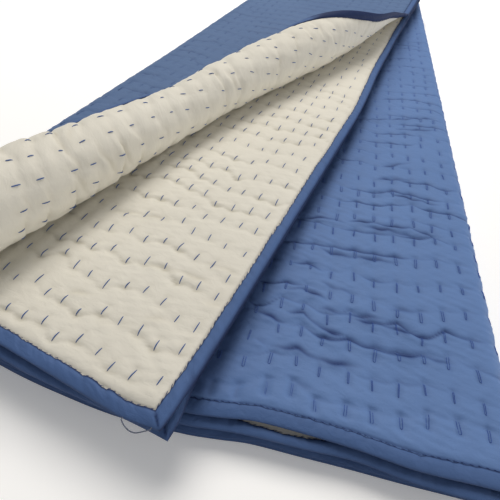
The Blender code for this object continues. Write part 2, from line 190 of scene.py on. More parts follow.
# The lower hems are wavy: in from the right fold, third outer, third inner, lowest.
HEM_WAVE = [(-0.05, 0.0010, -0.0005, -0.0030), (0.017, 0.0010, -0.0005, -0.0030),
            (0.063, 0.0017, -0.0013, -0.0022), (0.105, -0.0018, -0.0050, -0.0022),
            (0.145, -0.0034, -0.0036, -0.0016), (0.185, -0.0034, -0.0027, -0.0010),
            (0.210, 0.0002, -0.0008, 0.0020), (0.237, 0.0030, 0.0022, 0.0047),
            (0.290, 0.0040, 0.0030, 0.0060), (0.360, 0.0020, 0.0020, 0.0045),
            (0.600, 0.0000, 0.0000, 0.0020)]
# The roll: back from the hem, its start in from the bound edge, radius, turn.
ROLL = [(-0.15, 0.288, 0.0375, 205), (0.00, 0.259, 0.0385, 207), (0.08, 0.2415, 0.0372, 208),
        (0.15, 0.225, 0.0330, 210), (0.30, 0.196, 0.0262, 215), (0.45, 0.160, 0.0300, 222),
        (0.60, 0.105, 0.0342, 222), (0.70, 0.080, 0.0440, 212), (0.80, 0.062, 0.0470, 205),
        (0.88, 0.037, 0.0460, 200), (0.93, 0.014, 0.0440, 200), (0.97, -0.002, 0.0440, 200),
        (1.20, -0.060, 0.0440, 200)]
ROLL_SKEW = math.radians(14.3)
ROLL_REST = 0.0030
ROLL_LANDING = 0.014
STIFF_EDGE = 0.019
SWELL = 0.035               # in places the stack is thicker or thinner by this share
LEGS = ["top", "large fold", "lowest", "right fold", "third", "small fold", "second"]
# How far the cloth runs round each fold. The large one isn't round.
LARGE_ARC = math.pi * LARGE_FOLD * 1.18
RIGHT_ARC = math.pi * (SMALL_FOLD + LEAF_OFFSET)
SMALL_ARC = math.pi * SMALL_FOLD
ARCS = {"large fold": LARGE_ARC, "right fold": RIGHT_ARC, "small fold": SMALL_ARC}


def smooth(share):
    share = np.clip(share, 0.0, 1.0)
    return share * share * (3 - 2 * share)


def between(first, last, share):
    return first + (last - first) * share


def look_up(table, place, column):
    """A smooth value between the rows of a table, by the rows' first column."""
    rows = np.array(table)
    spots, values = rows[:, 0], rows[:, column]
    here = np.clip(np.searchsorted(spots, place) - 1, 1, len(spots) - 3)
    slopes = (values[2:] - values[:-2]) / (spots[2:] - spots[:-2])
    span = spots[here + 1] - spots[here]
    share = np.clip((place - spots[here]) / span, 0, 1)
    s2, s3 = share * share, share ** 3
    return ((2 * s3 - 3 * s2 + 1) * values[here] + (s3 - 2 * s2 + share) * slopes[here - 1] * span
            + (3 * s2 - 2 * s3) * values[here + 1] + (s3 - s2) * slopes[here] * span)


def roll_cloth(inward, back):
    """Where the top leaf's cloth goes, from its flat place: inward, back, up."""
    foot = back
    for _ in range(8):
        start, radius = look_up(ROLL, foot, 1), look_up(ROLL, foot, 2)
        turn = np.radians(look_up(ROLL, foot, 3))
        foot = back + (start - inward) * math.tan(ROLL_SKEW)
    beyond = np.maximum((start - inward) / math.cos(ROLL_SKEW), 0)
    arc = radius * turn
    past = beyond - arc
    bent = np.minimum(beyond, arc) / radius
    across = radius * np.sin(bent) + np.maximum(past, 0) * np.cos(turn)
    up = radius * (1 - np.cos(bent)) + np.maximum(past, 0) * np.sin(turn)
    low = LEAF + ROLL_REST + ROLL_LANDING
    landing = low - ROLL_LANDING + ROLL_LANDING * np.exp(np.minimum(up - low, 0) / ROLL_LANDING)
    up = np.where((beyond > math.pi * radius) & (up < low), landing, up)
    moved = across - beyond
    return inward - moved * math.cos(ROLL_SKEW), back - moved * math.sin(ROLL_SKEW), up


def upper_width(back):
    return UPPER_WIDTH + UPPER_WIDENING * back + look_up(EDGE_BOW, back, 1)


def upper_centre(back):
    back = back[..., None]
    return UPPER_CORNER + AWAY * back + LEFTWARD * (UPPER_WIDTH + UPPER_WIDENING * back)


def hem_curve(from_left, back):
    share = np.maximum(1 - np.maximum(from_left, 0) / HEM_CURVE_REACH, 0)
    return HEM_CURVE * share * share * (1 - 0.5 * back / FOLDED_LENGTH)


def lowest_centre(back):
    x = LEFT_FOLD_MIDDLE[0] + LEFT_FOLD_SLOPE * (back - LEFT_FOLD_MIDDLE[1])
    return np.stack([x, LOWER_HEM_Y + back + hem_curve(0.0, back)], axis=-1)


def third_centre(back):
    low = lowest_centre(back)
    x = (low[..., 0] + upper_centre(back)[..., 0]) / 2
    return np.stack([x, low[..., 1]], axis=-1)


def second_centre(back):
    upper = upper_centre(back)
    shift = (third_centre(back)[..., 0] - upper[..., 0]) / LEFTWARD[0]
    return upper + LEFTWARD * shift[..., None]


def lowest_width(back):
    return RIGHT_FOLD_X - lowest_centre(back)[..., 0]


def third_width(back):
    return RIGHT_FOLD_X - third_centre(back)[..., 0]


def second_width(back, side):
    corner = UNDER_CORNER * (1 - smooth(back / UNDER_CORNER_REACH))
    shift = (second_centre(back) - upper_centre(back)) @ LEFTWARD
    return upper_width(back) + shift - 0.004 + corner * (0.55 - 0.45 * side)


def leg_width(leg, side, back):
    """A leg's width in metres, measured along the cloth."""
    if leg == "second":
        return second_width(back, side)
    if leg in ARCS:
        return ARCS[leg] + 0 * back
    return {"top": upper_width, "lowest": lowest_width, "third": third_width}[leg](back)


def row_state(along):
    """Side (+1 outer cloth, -1 inner cloth) and distance back from the hem."""
    angle = np.clip((along - FOLDED_LENGTH) / LEAF_OFFSET, 0, math.pi)
    side = np.where(angle <= 0, 1.0, np.where(angle >= math.pi, -1.0, np.cos(angle)))
    back = np.where(angle <= 0, along,
                    np.where(angle >= math.pi, WHOLE - along,
                             FOLDED_LENGTH + LEAF_OFFSET * np.sin(angle)))
    return side, back


def hem_shift(leg, share, side, back):
    index = LEGS.index(leg)
    ends = [between(inner, outer, (side + 1) / 2) for outer, inner in HEMS[index:index + 2]]
    shift = between(ends[0], ends[1], np.clip(share, 0, 1))
    if leg == "top":
        shift = shift - TOP_TUCK * (1 - smooth(share * UPPER_WIDTH / TOP_TUCK_REACH))
    elif leg == "second":
        shift = shift - UNDER_TUCK * (1 - smooth((1 - share) * UPPER_WIDTH / UNDER_TUCK_REACH))
    elif leg in ("lowest", "right fold", "third"):
        inward = {"lowest": (1 - share) * lowest_width(back), "right fold": share * 0,
                  "third": share * third_width(back)}[leg]
        third = between(look_up(HEM_WAVE, inward, 2), look_up(HEM_WAVE, inward, 1), (side + 1) / 2)
        lowest = look_up(HEM_WAVE, inward, 3)
        shift = shift + {"lowest": lowest, "third": third,
                         "right fold": between(lowest, third, share)}[leg]
    return shift * (1 - smooth(back / HEM_FADE))


def flat_leaf(leg, run, along):
    side, back = row_state(along)
    offset = side * LEAF_OFFSET
    lowest, third, second, top = HEIGHT
    middle = (top + lowest) / 2
    up = 0.0
    blend = np.zeros_like(run)
    reach = math.pi
    if "fold" not in leg:
        reach = {"lowest": lowest_width, "third": third_width}.get(leg, upper_width)(back)
    back = back - hem_shift(leg, run / reach, side, back)
    if leg == "top":
        rolled, further, lifted = roll_cloth(run, back)
        outer = side == 1.0
        inward = np.where(outer, rolled, run)
        back = np.where(outer, further, back)
        up = np.where(outer, lifted, 0.0)
        across, height = upper_width(back) - inward, top + offset
        wraps = (up > 0) & (across < 0)
        radial = height + up - middle + 0.002 * smooth(-across / 0.03)
        wrap = across / (radial * (1 + LARGE_FOLD_BULGE) / 2)
        across = np.where(wraps, LARGE_FOLD_BULGE * radial * np.sin(wrap), across)
        height = np.where(wraps, middle + radial * np.cos(wrap), height + up)
    elif leg == "large fold":
        radius = LARGE_FOLD + offset
        across = -LARGE_FOLD_BULGE * radius * np.sin(run)
        height, blend = middle + radius * np.cos(run), smooth(run / math.pi)
    elif leg == "lowest":
        across, height, blend = run, lowest - offset, blend + 1
    elif leg == "right fold":
        radius = SMALL_FOLD + offset
        across = lowest_width(back) + radius * np.sin(run)
        height, blend = (lowest + third) / 2 - radius * np.cos(run), blend + 1
    elif leg == "third":
        across, height, blend = third_width(back) - run, third + offset, blend + 1
    elif leg == "small fold":
        radius = SMALL_FOLD - offset
        across, height = -radius * np.sin(run), (second + third) / 2 - radius * np.cos(run)
        blend = 1 - smooth(run / math.pi)
    else:
        across, height = run, second - offset
    if leg in ("third", "small fold", "second"):
        upper, lower = second_centre(back), third_centre(back)
    else:
        upper, lower = upper_centre(back), lowest_centre(back)
    share = blend[..., None]
    direction = -LEFTWARD * (1 - share) + np.array((1.0, 0.0)) * share
    direction = direction / np.linalg.norm(direction, axis=-1, keepdims=True)
    place = upper * (1 - share) + lower * share + direction * across[..., None]
    x, y = place[..., 0], place[..., 1]
    if leg in ("lowest", "right fold", "third"):
        y = y + hem_curve(across, back) - hem_curve(0.0, back)
    swell = SWELL * np.sin(5.1 * x + 3.7 * y + 0.6) * np.sin(4.3 * y - 2.0 * x)
    height = LEAF / 2 + (height - LEAF / 2) * (1 + swell)
    if leg in ("top", "second"):
        height = height - CORNER_DROOP * smooth((LOWER_HEM_Y - y) / 0.03)
    return np.stack([x, y, height], axis=-1)


def leaf_middle(leg, run, along):
    """Middle of the folded cloth, for metres (or radians round a fold) along a leg."""
    if leg != "top":
        return flat_leaf(leg, run, along)
    inner = np.maximum(run, STIFF_EDGE)
    place = flat_leaf(leg, inner, along)
    slope = (flat_leaf(leg, inner + 0.002, along) - place) / 0.002
    return place + slope * (run - inner)[..., None]


def lay(leg, run, along, rise):
    """Points at a height above the cloth's middle, towards its blue face."""
    run, along, rise = np.broadcast_arrays(run, along, rise)
    run, along = run.astype(float), along.astype(float)
    step = 0.0004
    turn = step / 0.03 if "fold" in leg else step
    ahead = leaf_middle(leg, run + turn, along) - leaf_middle(leg, run - turn, along)
    onward = leaf_middle(leg, run, along + step) - leaf_middle(leg, run, along - step)
    normal = np.cross(onward, ahead)
    normal = normal / np.linalg.norm(normal, axis=-1, keepdims=True)
    return leaf_middle(leg, run, along) + normal * rise[..., None]


# The quilting. Its rows run with the cloth's length: 19 mm apart across the upper
# leaves, counted from the bound edge, and 21.5 mm across the lower ones, counted
# from the right fold. The running stitch shows on the blue, then on the cream.
FIRST_ROW = {"upper": 0.022 - 0.0192, "lower": 0.0095 - 0.0215}
ROW_STEP = {"upper": 0.0192, "lower": 0.0215}
STITCH_STEP = 0.0274
FIRST_STITCH = {("upper", "cream"): WHOLE - 0.030 - 84 * STITCH_STEP, ("lower", "blue"): 0.0275}
FIRST_STITCH["upper", "blue"] = FIRST_STITCH["upper", "cream"] + STITCH_STEP / 2
FIRST_STITCH["lower", "cream"] = FIRST_STITCH["lower", "blue"] + STITCH_STEP / 2
STITCH = 0.0118
# On the upper leaves the rows run further in by this much per metre, as far as here.
ROW_SLANT, ROW_SLANT_REACH = 0.022, 0.5
FACE_INSET = 0.0040         # the faces stop this far in, inside the binding
CREASE_DEPTH, LIP_HEIGHT = 0.0022, 0.0011
STITCH_DIP, PILLOW_HEIGHT, CHANNEL_DEPTH = 0.0008, 0.0006, 0.0003

rng = np.random.default_rng(7)
ROWS, COUNTS = 34, 88
drift = rng.normal(0, 1, (2, ROWS, COUNTS))
for axis in (1, 2):
    drift = (np.roll(drift, 1, axis) + drift + np.roll(drift, -1, axis)) / 3
drift = 0.0045 * drift / drift.std() + rng.normal(0, 0.0016, drift.shape)
# The rows that run up the open part of the third leaf were started by eye.
drift[1, 2:13] += np.array([2, 1, 0, -4, 2, -1, 6, 1, -6, -2, 3])[:, None] / 1000
tightness = rng.normal(0, 1, (2, ROWS, COUNTS))
tightness = tightness + 0.8 * np.roll(tightness, 1, 1) + 0.4 * np.roll(tightness, 2, 1)
tightness = 0.06 + 0.94 * smooth(0.40 + 0.27 * tightness)
# Close behind the lower hem the cloth lies almost flat.
tightness[1, :, 0] *= 0.15
tightness[1, :, 1] *= 0.45
stitch_length = STITCH * rng.uniform(0.70, 1.2, (2, ROWS, COUNTS))
sideways = rng.normal(0, 1, (2, ROWS, COUNTS))
sideways = 0.0016 * (sideways + np.roll(sideways, 1, 2) + np.roll(sideways, 2, 2)) / 3
sideways += rng.normal(0, 0.0005, sideways.shape)


def rows_of(leg, run, back, side):
    """The quilting that crosses a place: which set of rows, how far across it is,
    and how strongly it shows there (it fades where the two sets meet)."""
    if leg == "top":
        return "upper", run - ROW_SLANT * np.minimum(back, ROW_SLANT_REACH), np.ones_like(run)
    if leg == "second":
        return "upper", second_width(back, side) - run, np.ones_like(run)
    if leg == "large fold":
        share = run / math.pi
        start = upper_width(back) - ROW_SLANT * ROW_SLANT_REACH
        return "upper", start + LARGE_ARC * share, smooth((0.9 - share) / 0.3)
    if leg == "lowest":
        return "lower", lowest_width(back) - run, smooth(run / 0.02)
    if leg == "right fold":
        return "lower", -RIGHT_ARC * (0.5 - np.abs(run / math.pi - 0.5)), np.ones_like(run)
    if leg == "third":
        return "lower", run, np.ones_like(run)
    return "lower", third_width(back) + SMALL_ARC * run / math.pi, smooth((2.6 - run) / 0.5)


def stitch_middle(rows, colour, row, count):
    which = 0 if rows == "upper" else 1
    return FIRST_STITCH[rows, colour] + STITCH_STEP * count + drift[which, row, count]


def quilting(rows, colour, q, along, soft, fading):
    """Relief of a face at q across the rows, in metres: pillows between the crosswise
    creases, which join the stitches' far ends from row to row and fade between them,
    and a dip along each stitch. Also returns painted shade, 0 to 1: strongest deep in a crease,
    weaker in a stitch's dip."""
    which = 0 if rows == "upper" else 1
    place = (q - FIRST_ROW[rows]) / ROW_STEP[rows]
    row = np.clip(np.floor(place).astype(int), 0, ROWS - 2)
    share = smooth(place - row)
    near = np.round((along - FIRST_STITCH[rows, colour]) / STITCH_STEP).astype(int)
    relief = np.zeros_like(q)
    depth = np.zeros_like(q)
    gap = np.full_like(q, 1.0)
    for step in (-2, -1, 0, 1, 2):
        count = np.clip(near + step, 0, COUNTS - 1)
        ends = [stitch_middle(rows, colour, r, count) + stitch_length[which, r, count] / 2
                for r in (row, row + 1)]
        line = between(ends[0], ends[1], share)
        line = line - 0.0022 * np.sin(math.pi * np.clip(place - row, 0, 1))
        tight = between(tightness[which, row, count], tightness[which, row + 1, count], share)
        tight = tight * (1 - fading * (1 - np.abs(2 * share - 1)) ** 0.7)
        away = along - line
        gap = np.minimum(gap, np.abs(away))
        steep = np.exp(-(np.maximum(-away, 0) / 0.0013) ** 1.5)
        valley = tight * np.where(away < 0, steep, np.exp(-np.maximum(away, 0) / 0.0034))
        lip = tight * np.exp(-((away + 0.0046) / 0.0034) ** 2)
        relief += soft * (-CREASE_DEPTH * valley + LIP_HEIGHT * lip)
        depth = np.maximum(depth, tight * np.exp(-(np.abs(away) / (0.0012 + 0.0012 * tight)) ** 1.5))
        for r in (row, row + 1):
            middle = stitch_middle(rows, colour, r, count)
            past = np.maximum(np.abs(along - middle) - stitch_length[which, r, count] / 2, 0)
            aside = q - (FIRST_ROW[rows] + ROW_STEP[rows] * r + sideways[which, r, count])
            dip = np.exp(-(aside / 0.0028) ** 2 - (past / 0.0022) ** 2)
            relief -= STITCH_DIP * dip
            # A stitch's dip gets a little painted shade.
            depth = np.maximum(depth, 0.22 * dip)
    pillow = 1 - np.exp(-(gap / 0.006) ** 2)
    channel = np.exp(-((share - np.round(share)) * ROW_STEP[rows] / 0.0045) ** 2)
    relief += PILLOW_HEIGHT * soft * pillow - CHANNEL_DEPTH * channel
    return relief, np.clip(depth, 0, 1)


# Fine wrinkles pressed in by folding and washing, mostly crosswise: for each its
# wavelength in mm, its slant and its phase.
FINE_WRINKLES = [(rng.uniform(6, 19), rng.normal(0, 0.7), rng.uniform(0, 6.3)) for _ in range(11)]


def fine_wrinkles(q, along):
    relief = np.zeros_like(q)
    for wave, slant, phase in FINE_WRINKLES:
        turn = 2000 * math.pi / wave
        bend = 0.9 * np.sin(41 * q + 3 * phase) + 0.7 * np.sin(23 * along + phase)
        strength = 0.5 + 0.5 * np.sin(31 * q + 17 * along * (1 + slant) + 5 * phase)
        relief += 0.00011 * strength * np.sin(turn * (along + slant * q) + bend + phase)
    return relief


# The strongest creases of the open part of the third leaf: depth in mm, then
# places in from the right fold and back from the hem, in mm.
STRONG_CREASES = [
    (2.2, [(220, 100), (197, 97), (184, 91), (172, 90)]),
    (2.6, [(176, 102), (160, 104), (142, 92), (118, 89)]),
    (2.2, [(182, 128), (162, 132), (139, 125)]),
    (1.6, [(147, 144), (134, 141), (113, 138)]),
    (1.7, [(146, 114), (121, 113), (86, 118)]),
    (2.4, [(115, 108), (89, 111), (69, 109), (57, 112)]),
    (2.4, [(106, 84), (93, 86), (74, 85), (55, 90), (30, 87)]),
    (2.0, [(187, 62), (161, 67), (142, 61), (120, 62), (106, 65)]),
    (1.4, [(202, 70), (186, 64)]),
    (1.5, [(80, 130), (46, 136)]),
    (1.0, [(168, 41), (142, 33)]),
    (2.0, [(184, 231), (153, 240), (130, 237)]),
    (3.0, [(128, 240), (99, 245), (77, 243), (56, 246), (26, 236)]),
    (2.0, [(110, 235), (82, 236), (50, 232)]),
    (2.2, [(98, 327), (48, 338)]),
    (2.6, [(104, 296), (81, 304), (66, 300), (22, 293)]),
    (2.6, [(118, 474), (56, 489), (4, 505)]),
    (2.4, [(66, 458), (6, 467)]),
    (1.8, [(158, 190), (133, 185), (98, 188), (70, 189)]),
    (2.0, [(188, 161), (164, 166), (145, 159)]),
    (2.2, [(88, 355), (50, 375)]),
]


# Softer ones on the cream of the opened corner: depth in mm, then places in from
# the bound edge and back from the hem, in mm.
SOFT_CREASES = [
    (1.3, [(120, 113), (104, 116), (84, 119), (68, 122), (44, 123), (33, 122)]),
    (1.2, [(178, 156), (157, 164), (131, 169), (104, 176)]),
    (1.1, [(31, 106), (18, 105), (7, 105)]),
    (1.0, [(99, 50), (83, 55), (70, 62)]),
    (1.1, [(149, 57), (128, 66), (114, 70)]),
    (0.9, [(64, 54), (55, 53)]),
    (1.1, [(68, 70), (53, 74), (43, 78)]),
    (1.2, [(54, 139), (34, 143), (18, 142)]),
    (1.1, [(76, 218), (59, 220)]),
    (0.8, [(100, 24), (87, 25)]),
    (1.2, [(14, 46), (6, 55)]),
]


# Folds that run round the roll, and the far end's: the same, counted on the top leaf.
ROLL_FOLDS = [
    (1.9, [(140, 166), (148, 168), (156, 170), (172, 178), (182, 186)]),
    (1.9, [(146, 195), (158, 196), (172, 200), (184, 212)]),
    (1.7, [(143, 213), (148, 216), (158, 222), (168, 228)]),
    (1.7, [(146, 250), (150, 252), (158, 258), (170, 260)]),
    (1.4, [(172, 165), (186, 174)]),
    (1.8, [(160, 135), (182, 144), (200, 151)]),
    (1.3, [(118, 153), (132, 148), (146, 142)]),
    (1.4, [(136, 289), (140, 290), (152, 296)]),
    (1.4, [(100, 366), (106, 368), (132, 378)]),
    (1.6, [(112, 392), (134, 422)]),
    (1.3, [(30, 556), (36, 560), (60, 588)]),
    (0.8, [(10, 591), (24, 594), (50, 598)]),
]


def placed_creases(table, inward, back, steep, gentle, lip_height):
    """Listed creases: a drop on the side of the hem, a gentler rise beyond
    it, and a lip in front of it."""
    relief = np.zeros_like(inward)
    depth = np.zeros_like(inward)
    for deep, places in table:
        spots = sorted(places)
        x = np.array([p[0] for p in spots]) / 1000
        y = np.array([p[1] for p in spots]) / 1000
        line = np.interp(inward, x, y) + 0.0008 * np.sin(inward * 310 + deep * 20)
        ends = smooth((inward - x[0]) / 0.022 + 0.3) * smooth((x[-1] - inward) / 0.022 + 0.3)
        ends = ends * (0.74 + 0.26 * np.sin(inward * 170 + deep * 9))
        away = back - line
        valley = ends * np.where(away < 0, np.exp(-(np.maximum(-away, 0) / steep) ** 1.5),
                                 np.exp(-np.maximum(away, 0) / gentle))
        lip = ends * np.exp(-((away + 2.6 * steep + 0.001) / 0.0042) ** 2)
        relief += deep / 1000 * (lip_height * lip - valley)
        # Along each crease the cloth gets painted shade.
        dark = np.exp(-(np.abs(away) / (0.0015 + 0.0018 * ends)) ** 1.5)
        depth = np.maximum(depth, ends * min(deep / 2.1, 1) * dark)
    return relief, depth


# Beside the binding the faces dip under it: in from the edge, and height there.
SEAT_INSET = [0, 0.0112, 0.0121, 0.0136, 0.017, 0.024]
SEAT_HEIGHT = [0.0013, 0.0013, 0.0017, 0.0024, 0.0031, 0.00335]


def round_roll(side, back, run):
    """0 where the top leaf lies flat and 1 on its roll, with a soft step between."""
    return np.where(side == 1.0, smooth((look_up(ROLL, back, 1) - run) / 0.05 + 0.6), 0.0)


def face_height(leg, colour, run, along):
    """How far a face stands from the cloth's middle, and its painted shade: deep in the creases,
    lighter in the stitches' dips, and beside the upper leaves and the binding.
    """
    side, back = row_state(along)
    rows, q, strength = rows_of(leg, run, back, side)
    soft, fading = (1.0, 0.25) if colour == "blue" else (0.75, 0.72)
    low, high = -0.0026, 0.0011
    if leg == "top" and colour == "cream":
        # Round the roll the cream is the outside of the bend, and puckers more.
        rolled = round_roll(side, back, run)
        soft, fading = soft + 0.75 * rolled, fading - 0.3 * rolled
    relief, depth = quilting(rows, colour, q, along, soft, fading)
    wrinkled = 0.8 if colour == "blue" else 0.65 - 0.2 * (soft > 1.0)
    relief = relief + fine_wrinkles(q, along) * wrinkled
    if leg == "third" and colour == "blue":
        high = 0.0017
        extra, deeper = placed_creases(STRONG_CREASES, run, along, 0.0014, 0.0042, 0.55)
        relief, depth = relief + extra, np.maximum(depth, deeper)
        # Along the upper leaves a deeper tone stands for the deep shade beside them.
        beside = lay(leg, run, along, 0 * run) - lay("top", 0 * run, WHOLE - along, 0 * run)
        beside = beside[..., 0]
        depth = np.maximum(depth, 0.52 * np.exp(-np.maximum(beside, 0) / 0.022))
    if leg == "top" and colour == "cream":
        # The far half lies flatter.
        pressed = 1 - 0.40 * smooth((back - 0.30) / 0.36)
        relief, depth = relief * pressed, depth * pressed
        low, high = -0.0022, np.where(rolled > 0.5, 0.0024, 0.0011)
        extra, deeper = placed_creases(SOFT_CREASES, run, WHOLE - along, 0.0013, 0.0030, 0.6)
        relief, depth = relief + extra, np.maximum(depth, deeper)
        extra, deeper = placed_creases(ROLL_FOLDS, run, along, 0.0022, 0.0050, 0.9)
        relief, depth = relief + extra, np.maximum(depth, 0.8 * deeper)
        # The roll has soft dents across it, and short folds.
        waves = (np.sin(83 * along + 5 * np.sin(9 * run) + 0.4)
                 + 0.7 * np.sin(151 * along - 19 * run)
                 + 0.6 * np.sin(47 * along + 26 * run + 2.0))
        folds = np.sin(263 * along + 70 * run + 3 * np.sin(31 * run + 9 * along)) ** 3
        folds = folds * smooth(0.5 + 1.5 * np.sin(57 * run + 21 * along) * np.sin(38 * along))
        relief = relief + rolled * (0.00048 * waves + 0.0006 * folds)
    relief, depth = relief * strength, depth * strength
    inset = np.minimum(along, WHOLE - along)
    if leg == "top":
        inset = np.minimum(inset, run)
    elif leg == "second":
        inset = np.minimum(inset, second_width(back, side) - run)
    seat = np.interp(inset, SEAT_INSET, SEAT_HEIGHT)
    fade = smooth((inset - 0.0115) / 0.006)
    # A thin line of painted shade where the face dips under the binding's sewn edge.
    groove = 0.45 * np.exp(-((inset - 0.0122) / 0.0009) ** 2)
    return seat + np.clip(relief * fade, low, high), np.maximum(depth * fade, groove)


def spread(spans):
    """Places along a line: each span is how far it reaches and its usual spacing."""
    places = [0.0]
    for reach, spacing in spans:
        start = places[-1]
        cells = max(1, round((reach - start) / spacing))
        places += [between(start, reach, n / cells) for n in range(1, cells + 1)]
    return places


EDGE_SPANS = [(0.0068, 0.004), (0.0084, 0.0008), (0.0132, 0.0016)]


def along_places(outer, inner):
    """Rows of a sheet from the outer hem round the far fold to the inner hem."""
    near = [FACE_INSET + d for d in spread(EDGE_SPANS + outer)]
    far = [FOLDED_LENGTH + FAR_TURN * n / 10 for n in range(1, 10)]
    back = [WHOLE - FACE_INSET - d for d in spread(EDGE_SPANS + inner)]
    return np.array(near + far + back[::-1])


def run_at(leg, share, side, back, inset):
    """Place along a leg, in metres or radians, from a share of its width."""
    if leg == "top":
        return between(inset, upper_width(back), share)
    if leg in ARCS:
        return math.pi * share + 0 * back
    return (leg_width(leg, side, back) - (inset if leg == "second" else 0)) * share


def grid_mesh(name, cells_across, cells_along, turned_over):
    shape = bmesh.new()
    bmesh.ops.create_grid(shape, x_segments=cells_across, y_segments=cells_along, size=0.5)
    if turned_over:
        bmesh.ops.reverse_faces(shape, faces=shape.faces)
    mesh = bpy.data.meshes.new(name)
    shape.to_mesh(mesh)
    shape.free()
    return mesh


def fit_grid(mesh, places, flat, painted_shade):
    """Gives a grid its points, kept above the floor, the flat cloth in metres as a
    UV map, and each point's painted shade, 0 to 1, as an attribute."""
    places[..., 2] = np.maximum(places[..., 2], 0.0)
    mesh.vertices.foreach_set("co", places.reshape(-1).astype(np.float32))
    corners = np.zeros(len(mesh.loops), np.int32)
    mesh.loops.foreach_get("vertex_index", corners)
    layer = mesh.uv_layers.new(name="flat_cloth")
    layer.data.foreach_set("uv", flat.reshape(-1, 2)[corners].reshape(-1).astype(np.float32))
    mark = mesh.attributes.new("painted_shade", "FLOAT", "POINT")
    mark.data.foreach_set("value", painted_shade.reshape(-1).astype(np.float32))


def cloth_sheet(name, colour, columns, along):
    """A face of the quilt: a flat grid whose columns (leg, share) and rows are laid
    on the folds."""
    mesh = grid_mesh(name, len(columns) - 1, len(along) - 1, colour == "blue")
    places = np.zeros((len(along), len(columns), 3))
    flat = np.zeros((len(along), len(columns), 2))
    painted_shade = np.zeros((len(along), len(columns)))
    side, back = row_state(along)
    widths = {leg: leg_width(leg, side, back) for leg in LEGS}
    first = LEGS.index(columns[0][0])
    for leg in LEGS:
        chosen = [n for n, column in enumerate(columns) if column[0] == leg]
        if not chosen:
            continue
        shares = np.array([columns[n][1] for n in chosen])
        run = np.stack([run_at(leg, s, side, back, FACE_INSET) for s in shares], axis=1)
        t = np.repeat(along[:, None], len(chosen), axis=1)
        height, deep = face_height(leg, colour, run, t)
        places[:, chosen] = lay(leg, run, t, height if colour == "blue" else -height)
        start = sum(widths[before] for before in LEGS[first:LEGS.index(leg)])
        length = run * (widths[leg] / math.pi)[:, None] if "fold" in leg else run
        flat[:, chosen, 0] = length + (start[:, None] if np.ndim(start) else 0)
        flat[:, chosen, 1] = t
        painted_shade[:, chosen] = deep
    fit_grid(mesh, places, flat, painted_shade)
    mesh.shade_smooth()
    mesh.update()
    return linked(name, mesh)


# Cotton sateen, piece-dyed: a smooth close weave with a soft sheen, painted shade (its deep colour,
# mixed in by a mark on the mesh) in the creases and other shaded places, and fine pressed-in
# wrinkles.
# Its threads are 0.25 mm apart, drawn here at 1.1 mm so that they show at all.
def cotton_material(name, body, light, deep, roughness, sheen, wrinkle, shade_strength, gloss):
    material, tree, output = new_material(name)
    flat = node(tree, "UVMap", {}, uv_map="flat_cloth").outputs["UV"]
    place = node(tree, "TexCoord", {}).outputs["Object"]
    cloudy = node(tree, "TexNoise", {"Vector": place, "Scale": 9.0, "Detail": 3.0}).outputs["Fac"]
    tone = node(tree, "Mix", {"Factor": cloudy, "A": linear(body), "B": linear(light)},
                data_type="RGBA").outputs["Result"]
    # The mark read here mixes the deep colour in: painted shade.
    painted_shade = node(tree, "Attribute", {}, attribute_name="painted_shade").outputs["Fac"]
    shade_amount = node(tree, "Math", {0: painted_shade, 1: shade_strength}, operation="MULTIPLY").outputs["Value"]
    tone = node(tree, "Mix", {"Factor": shade_amount, "A": tone, "B": linear(deep)},
                data_type="RGBA").outputs["Result"]
    warp, weft = [node(tree, "TexWave", {"Vector": flat, "Scale": 290.0, "Distortion": 0.6,
                                         "Detail": 1.0}, bands_direction=way).outputs["Fac"]
                  for way in "XY"]
    weave = node(tree, "Math", {0: warp, 1: weft}, operation="MULTIPLY").outputs["Value"]
    stretched = node(tree, "Mapping", {"Vector": flat, "Scale": (0.55, 1.0, 1.0)}).outputs["Vector"]
    wrinkles = node(tree, "TexNoise", {"Vector": stretched, "Scale": 150.0, "Detail": 4.0,
                                       "Roughness": 0.55, "Distortion": 0.4}).outputs["Fac"]
    slubs = node(tree, "TexNoise", {"Vector": flat, "Scale": 480.0, "Detail": 2.0}).outputs["Fac"]
    fine = node(tree, "Bump", {"Height": weave, "Strength": 0.12, "Distance": 0.0003})
    mid = node(tree, "Bump", {"Height": slubs, "Strength": 0.15, "Distance": 0.0004,
                              "Normal": fine.outputs["Normal"]})
    broad = node(tree, "Bump", {"Height": wrinkles, "Strength": wrinkle, "Distance": 0.0016,
                                "Normal": mid.outputs["Normal"]})
    shader = node(tree, "BsdfPrincipled", {
        "Base Color": tone, "Roughness": roughness, "IOR": 1.5, "Specular IOR Level": gloss,
        "Sheen Weight": sheen,
        "Sheen Roughness": 0.45, "Sheen Tint": linear(light), "Normal": broad.outputs["Normal"]})
    tree.links.new(shader.outputs["BSDF"], output.inputs["Surface"])
    return material


def shares_of(count):
    return [n / count for n in range(1, count)]


SEAM_SHARE = 0.9            # the two widths meet this far across the lowest leaf
EDGE_SHARES = [0.0, 0.010, 0.0195, 0.0225, 0.0265, 0.032, 0.041]
blue_cotton = cotton_material("blue_cotton_sateen", "617fb1", "6a89bd", "162a60",
                              0.62, 0.05, 0.50, 1.0, 0.2)
# The upper sheet gets a greyer, darker copy of the blue: painted shade that tones down the top leaf.
blue_painted_shade = cotton_material("blue_cotton_sateen_painted_shade", "556e95", "5e779e", "22325e",
                             0.62, 0.05, 0.50, 0.7, 0.22)

